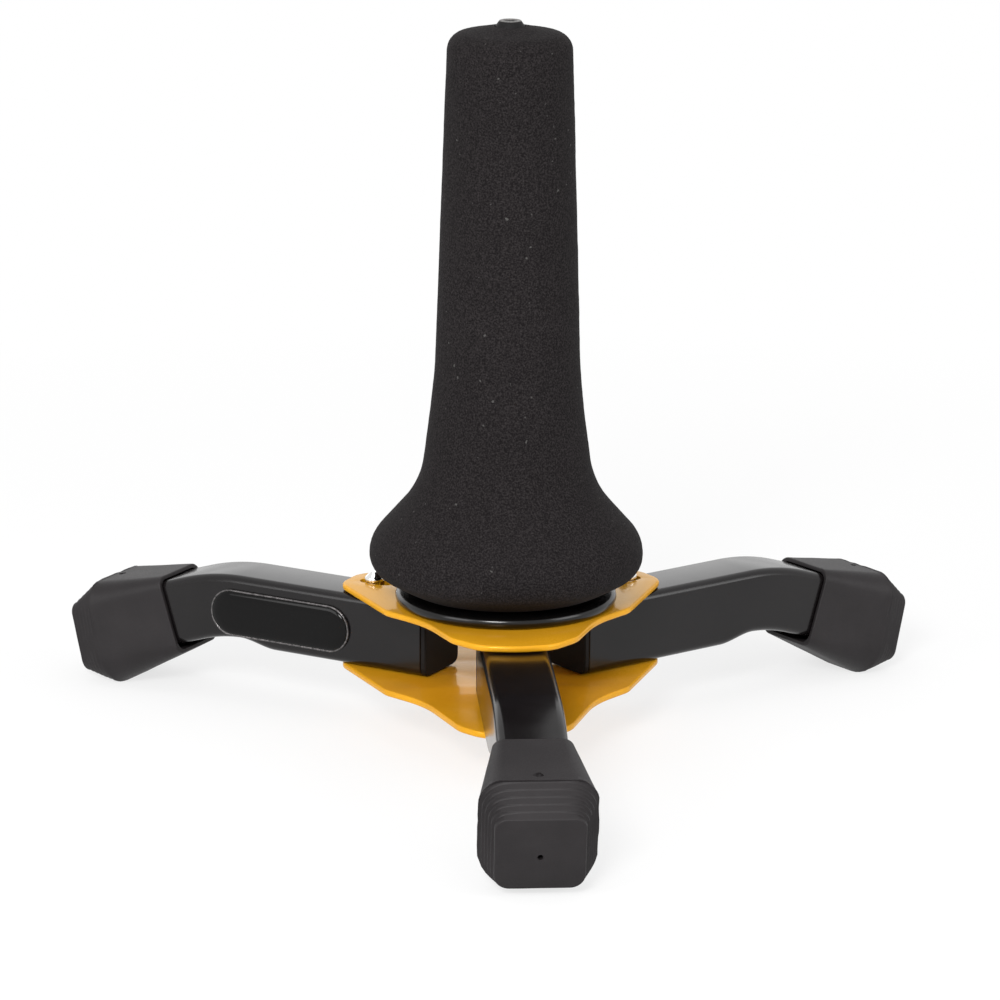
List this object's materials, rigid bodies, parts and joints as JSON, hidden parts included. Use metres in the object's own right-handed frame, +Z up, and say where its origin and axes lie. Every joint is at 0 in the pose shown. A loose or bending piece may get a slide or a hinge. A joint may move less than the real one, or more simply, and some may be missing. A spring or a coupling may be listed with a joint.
{
  "type": "soprano saxophone stand",
  "caption": "Low folding stand with a foam-covered peg on a hub of two lobed gold plates and bent black tube legs with stepped rubber boots.",
  "frame": {"origin": "centre of the stand's outline on the floor, under the three rubber boots", "axes": "+Z up along the peg, +X to the right seen from the front, the front leg points along -Y"},
  "size_m": [0.2678, 0.2406, 0.2227],
  "materials": {
    "gold_plate": "glossy gold-coloured metal with rounded edges",
    "black_tube": "satin black enamel on square steel tube",
    "gloss_black": "gloss black",
    "black_rubber": "matte moulded rubber",
    "black_foam": "fine-celled black foam rubber",
    "black_plastic": "matte black moulded plastic",
    "zinc_steel": "zinc-plated steel",
    "bright_steel": "polished and plated"
  },
  "bodies": {
    "hub": {"lower_plate": "gold_plate", "upper_plate": "gold_plate", "centre_spacer": "zinc_steel", "centre_washer": "zinc_steel", "centre_bolt": "zinc_steel", "flange_disc": "gloss_black", "peg_tube": "zinc_steel", "peg_insert": "zinc_steel", "peg_cap": "black_plastic", "foam_sleeve": "black_foam", "front_leg": "black_tube", "front_foot": "black_rubber", "front_inner_plug": "black_plastic", "front_leg_screw_1": "zinc_steel", "front_leg_screw_2": "zinc_steel", "front_leg_nut_1": "zinc_steel", "front_leg_nut_2": "zinc_steel"},
    "left_pin_slide": {"left_pin": "bright_steel", "left_pin_washer": "bright_steel"},
    "left_leg_swing": {"left_leg": "black_tube", "left_foot": "black_rubber", "left_inner_plug": "black_plastic", "left_pivot_bush": "zinc_steel", "left_badge": "gloss_black"},
    "right_pin_slide": {"right_pin": "bright_steel", "right_pin_washer": "bright_steel"},
    "right_leg_swing": {"right_leg": "black_tube", "right_foot": "black_rubber", "right_inner_plug": "black_plastic", "right_pivot_bush": "zinc_steel"}
  },
  "joints": [
    {"name": "left_leg_draw", "type": "slide", "parent": "hub", "child": "left_pin_slide", "axis": [-0.866, 0.5, 0], "range_m": [-0.0041, 0.0021]},
    {"name": "left_leg_fold", "type": "hinge", "parent": "left_pin_slide", "child": "left_leg_swing", "pos_m": [-0.0394, 0.05302, 0.0304], "axis": [0, 0, 1], "range_deg": [0, 122.9]},
    {"name": "right_leg_draw", "type": "slide", "parent": "hub", "child": "right_pin_slide", "axis": [0.866, 0.5, 0], "range_m": [-0.0041, 0.0021]},
    {"name": "right_leg_fold", "type": "hinge", "parent": "right_pin_slide", "child": "right_leg_swing", "pos_m": [0.0394, 0.05302, 0.0304], "axis": [0, 0, 1], "range_deg": [-122.9, 0]}
  ]
}
